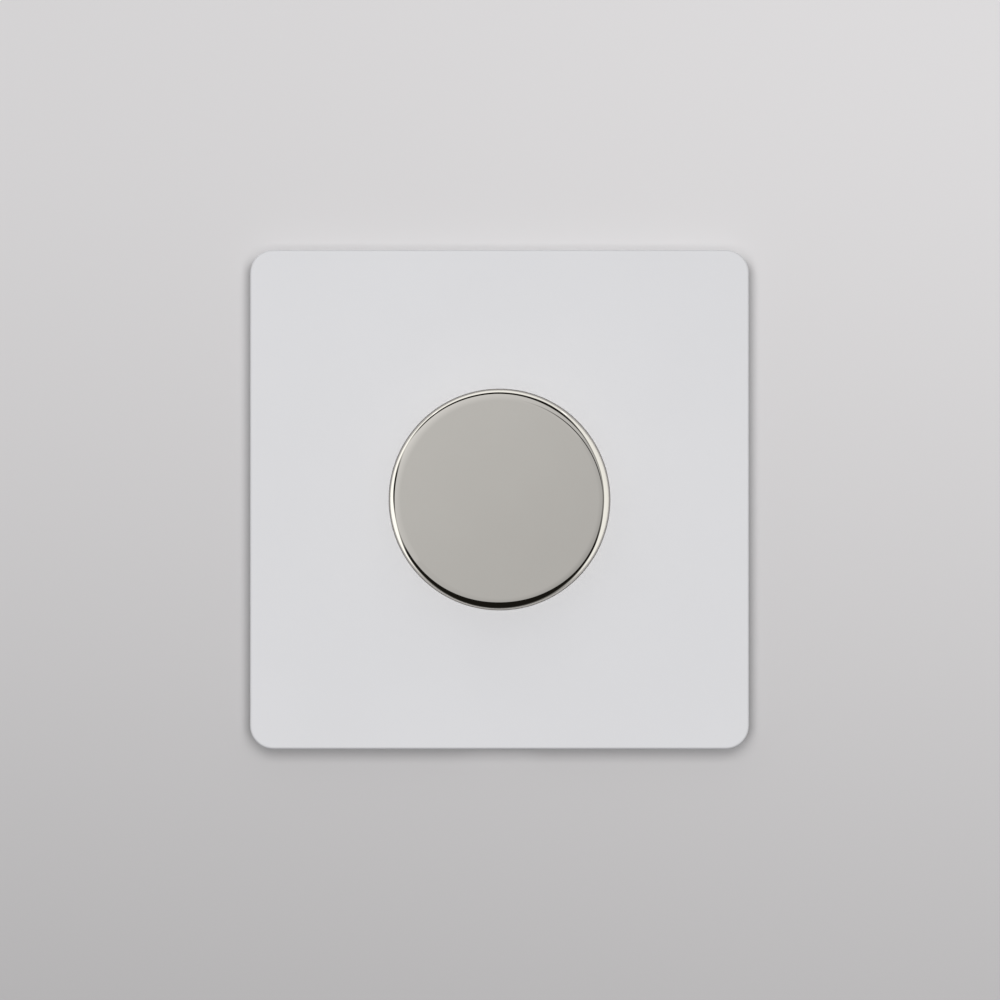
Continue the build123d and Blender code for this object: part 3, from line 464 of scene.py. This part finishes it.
def reflections(graph, parts):
    """What bright metal mirrors: a grey card ahead, dark gaps round it and white walls.

    A direction is told by the slope of the mirror that sends it to the photograph's
    camera: across is its tilt to the right and up its tilt upwards, each from -1 to 1.
    """
    double = graph.math("SUBTRACT", 2.0, graph.math("MULTIPLY", parts[1], 2.0))
    size = graph.math("SQRT", graph.math("MAXIMUM", double, LEAST_SIZE))
    across = graph.math("DIVIDE", parts[0], size)
    up = graph.math("DIVIDE", parts[2], size)

    def distance(x, z):
        return graph.length(graph.math("SUBTRACT", across, x), graph.math("SUBTRACT", up, z))

    def blend(first, share_x, share_z):
        """A level that changes evenly over the slopes, from its value at no slope."""
        steps = [graph.math("MULTIPLY", across, share_x), graph.math("MULTIPLY", up, share_z)]
        return graph.math("ADD", graph.math("ADD", *steps), first)

    def lit(colour, level):
        """A colour times a level from 0 to 2."""
        return graph.mix(graph.math("MULTIPLY", level, 0.5), (0, 0, 0), [2 * c for c in colour])

    slope = distance(0.0, 0.0)
    turn = graph.math("FRACT", graph.math("DIVIDE", graph.math("ARCTAN2", up, across), 2 * pi))
    table = graph.add("ShaderNodeValToRGB", {"Fac": turn})
    table.color_ramp.interpolation = "CARDINAL"
    stops = table.color_ramp.elements
    for i, (angle, *values) in enumerate(GAP):
        stop = stops[0] if i == 0 else stops[-1] if angle == 360 else stops.new(angle / 360)
        stop.color = (*values, 1)
    inner, outer, strength = graph.add("ShaderNodeSeparateColor", {"Color": table.outputs[0]}).outputs[:3]

    past_inner = graph.ramp(graph.math("SUBTRACT", slope, inner), -GAP_SOFT, GAP_SOFT)
    soft = graph.ramp(up, *FLOOR_SOFT_FROM, FLOOR_SOFT, GAP_SOFT)
    past_outer = graph.ramp(graph.math("SUBTRACT", slope, outer), graph.math("MULTIPLY", soft, -1.0), soft)
    in_gap = graph.math("MULTIPLY", graph.math("SUBTRACT", past_inner, past_outer), strength)

    fold = graph.math("DIVIDE", blend(0.0, *CARD_FOLD_ALONG), CARD_FOLD)
    fold = graph.math("MULTIPLY", graph.ramp(fold, -1.0, 1.0, -1.0, 1.0), CARD_FOLD_DEPTH)
    card = lit(CARD, graph.math("ADD", blend(1.0, *CARD_LEAN), fold))

    level = graph.ramp(up, *FLOOR_FADE, FLOOR_LEVEL, 1.0)
    walls = lit(WALLS, graph.math("MULTIPLY", blend(WALL_LEVEL, *WALL_LEAN), level))

    colour = graph.mix(past_inner, card, walls)
    colour = graph.mix(in_gap, colour, BLACK)
    off_arc = graph.math("ABSOLUTE", graph.math("SUBTRACT", distance(*ARC_CENTRE), ARC_RADIUS))
    arc = graph.ramp(off_arc, ARC_WIDTH, ARC_WIDTH / 3, 0.0, 1.0)
    arc = graph.math("MULTIPLY", arc, graph.ramp(across, *ARC_FADE_ACROSS))
    arc = graph.math("MULTIPLY", arc, graph.ramp(up, *ARC_FADE_UP))
    colour = graph.mix(arc, colour, BLACK)
    for x, z in GLINTS:
        colour = graph.mix(graph.ramp(distance(x, z), GLINT_RADIUS, GLINT_RADIUS / 2), colour, GLINT)
    behind = graph.mix(graph.ramp(parts[2], *BEHIND_FADE), BEHIND_LOW, BEHIND_HIGH)
    return graph.mix(graph.ramp(parts[1], *BEHIND_FROM), colour, behind)


def painted_rim_shadow(graph, across, height):
    """A painted shadow on the wall along the rim of the square plate: the share of the wall's colour kept
    there.
    """
    low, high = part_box("front_plate")
    straight = high.x - PLATE_CORNER
    past = [
        graph.math("MAXIMUM", graph.math("SUBTRACT", graph.math("ABSOLUTE", place), straight), 0.0)
        for place in (across, height)
    ]
    distance = graph.math("SUBTRACT", graph.length(*past), PLATE_CORNER)
    near = graph.math("SUBTRACT", 1.0, graph.math("DIVIDE", distance, RIM_SHADOW_REACH), clamp=True)
    below, beside, above = RIM_SHADOW_DEPTHS
    depth = graph.ramp(height, low.z, low.z + PLATE_CORNER, below, beside)
    depth = graph.ramp(height, high.z - PLATE_CORNER, high.z, depth, above)
    return graph.math("SUBTRACT", 1.0, graph.math("MULTIPLY", depth, graph.math("POWER", near, 2.0)))


def backdrop():
    """A plain wall, seen only from the room's side, with painted shade: darker towards the bottom and the
    left, and a painted shadow along the plate's rim.
    """
    corners = ((-1, -1), (1, -1), (1, 1), (-1, 1))
    points = [(x * BACKDROP_REACH, BACKDROP_DEPTH, z * BACKDROP_REACH) for x, z in corners]
    mesh = bpy.data.meshes.new("backdrop")
    mesh.from_pydata(points, [], [(0, 1, 2, 3)])
    material, graph = new_material("backdrop_painted_shade")
    side = graph.add("ShaderNodeNewGeometry").outputs["Backfacing"]
    place = graph.add("ShaderNodeTexCoord").outputs["Object"]
    across, _, height = graph.add("ShaderNodeSeparateXYZ", {0: place}).outputs
    # Painted shade: the wall's colour darkens towards the bottom and towards the left
    shade = graph.mix(graph.ramp(height, *BACKDROP_SHADE_FADE), BACKDROP_SHADED, BACKDROP_LIT)
    painted_side_light = graph.ramp(across, -BACKDROP_SIDE, BACKDROP_SIDE, 1 - BACKDROP_LIGHT_LEAN, 1 + BACKDROP_LIGHT_LEAN)
    # Painted shadow along the plate's rim, multiplied into the wall's colour
    level = graph.math("MULTIPLY", painted_side_light, painted_rim_shadow(graph, across, height))
    shade = graph.add("ShaderNodeVectorMath", {0: shade, "Scale": level}, operation="SCALE").outputs[0]
    paint = graph.add("ShaderNodeBsdfDiffuse", {"Color": shade})
    clear = graph.add("ShaderNodeBsdfTransparent")
    shader = graph.add("ShaderNodeMixShader", {0: side, 1: paint.outputs[0], 2: clear.outputs[0]})
    graph.add("ShaderNodeOutputMaterial", {"Surface": shader.outputs[0]})
    mesh.materials.append(material)
    wall = new_object("backdrop", mesh)
    wall.visible_shadow = False
    wall.visible_diffuse = False
    wall.visible_glossy = False


def camera():
    """Face on to the plate, so that the plate fills the photograph's own pixels."""
    low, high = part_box("front_plate")
    pixel = (high.x - low.x) / (PLATE_RIGHT - PLATE_LEFT)
    centre_x = (PLATE_LEFT + PLATE_RIGHT) / 2
    centre_z = (PLATE_TOP + PLATE_BOTTOM) / 2
    data = bpy.data.cameras.new("camera")
    data.sensor_width = SENSOR
    data.lens = SENSOR * CAMERA_DISTANCE / (pixel * IMAGE_SIZE)
    data.clip_start, data.clip_end = CLIP_START, CLIP_END
    holder = new_object("camera", data)
    x = (IMAGE_SIZE / 2 - centre_x) * pixel
    z = (centre_z - IMAGE_SIZE / 2) * pixel
    holder.location = (x, low.y - CAMERA_DISTANCE, z)
    holder.rotation_euler = (radians(90), 0, 0)
    bpy.context.scene.camera = holder


bpy.context.scene.view_settings.view_transform = "Standard"
materials = finishes()
dress_nodes(materials)
make_knob(materials["polished_nickel"])
make_spring(materials["spring_steel"])
studio()
backdrop()
camera()
